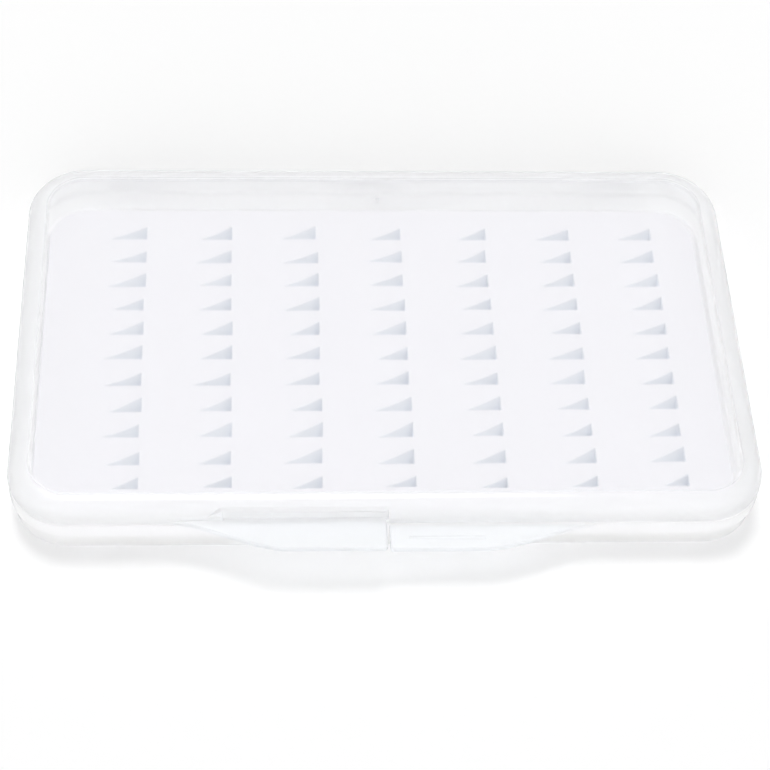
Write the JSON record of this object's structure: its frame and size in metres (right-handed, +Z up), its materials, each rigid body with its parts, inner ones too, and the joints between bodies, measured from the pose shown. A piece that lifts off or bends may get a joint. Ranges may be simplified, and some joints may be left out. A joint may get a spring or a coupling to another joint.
{
  "type": "fly box",
  "caption": "Slim clear plastic hinged case with a slit foam mat inside, a split finger tab at the front and knuckle hinges along the back.",
  "frame": {"origin": "middle of the flat underside of the tray, not counting the finger tab and the hinges", "axes": "+X to the right along the long front edge, +Y to the hinge side, +Z up out of the lid"},
  "size_m": [0.186, 0.1263, 0.0165],
  "materials": {
    "tray_plastic": "clear polished",
    "lid_plastic": "clear polished",
    "foam": "matt closed-cell foam",
    "adhesive": "matt film",
    "pin_steel": "drawn wire"
  },
  "bodies": {
    "tray": {"base_tray": "tray_plastic", "slit_foam_insert": "foam", "insert_adhesive_sheet": "adhesive", "hinge_pin_left": "pin_steel", "hinge_pin_centre": "pin_steel", "hinge_pin_right": "pin_steel"},
    "lid": {"lid": "lid_plastic"}
  },
  "joints": [
    {"name": "lid_hinge", "type": "hinge", "parent": "tray", "child": "lid", "pos_m": [0, 0.0589, 0.00825], "axis": [-1, 0, 0], "range_deg": [0, 180]}
  ]
}
